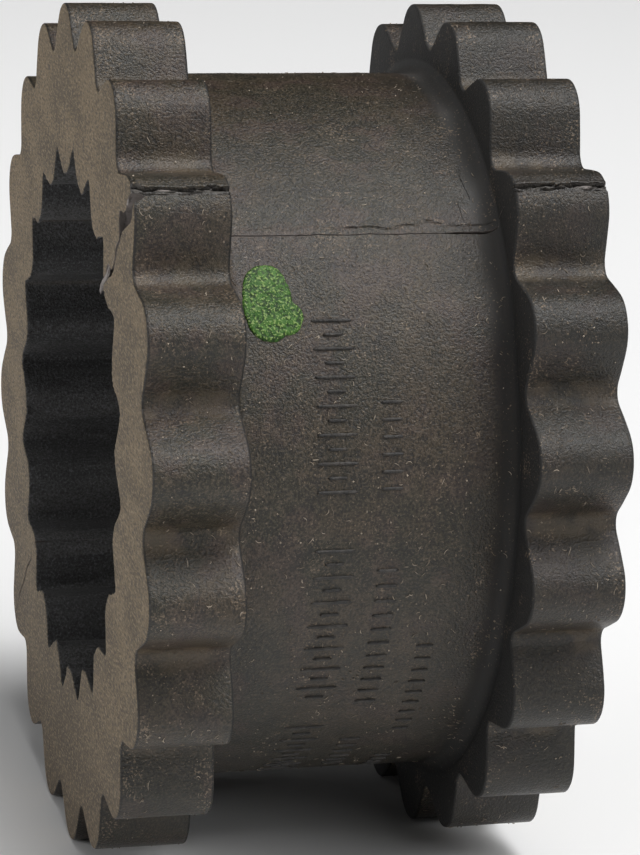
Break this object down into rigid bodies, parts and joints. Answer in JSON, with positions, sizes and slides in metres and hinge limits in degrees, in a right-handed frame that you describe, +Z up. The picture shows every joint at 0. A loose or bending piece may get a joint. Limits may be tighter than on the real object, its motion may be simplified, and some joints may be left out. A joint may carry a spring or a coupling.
{
  "type": "flexible coupling sleeve",
  "caption": "Round rubber coupling element with a toothed flange at each end, a toothed through bore, and a split body whose two halves hinge open to pass over a shaft.",
  "frame": {"origin": "centre of the sleeve, half way along its axis", "axes": "+X along the sleeve's axis towards the right-hand flange, +Z up with the sleeve standing on two teeth of each flange; the split plane holds the axis and lies 45 degrees from the vertical, towards -Y at the top"},
  "size_m": [0.0532, 0.0988, 0.0988],
  "materials": {
    "sleeve_rubber": "matt moulded rubber, dusty, slightly shiny on the rounded teeth",
    "green_paint": "thin mottled brushed-on paint"
  },
  "bodies": {
    "lower_half": {"lower_half_sleeve": "sleeve_rubber", "paint_dab": "green_paint"},
    "upper_half": {"upper_half_sleeve": "sleeve_rubber"}
  },
  "joints": [
    {"name": "split_opening", "type": "hinge", "parent": "lower_half", "child": "upper_half", "pos_m": [0, 0.03536, -0.03536], "axis": [-1, 0, 0], "range_deg": [0, 30], "stiffness_Nm_per_rad": 3}
  ]
}
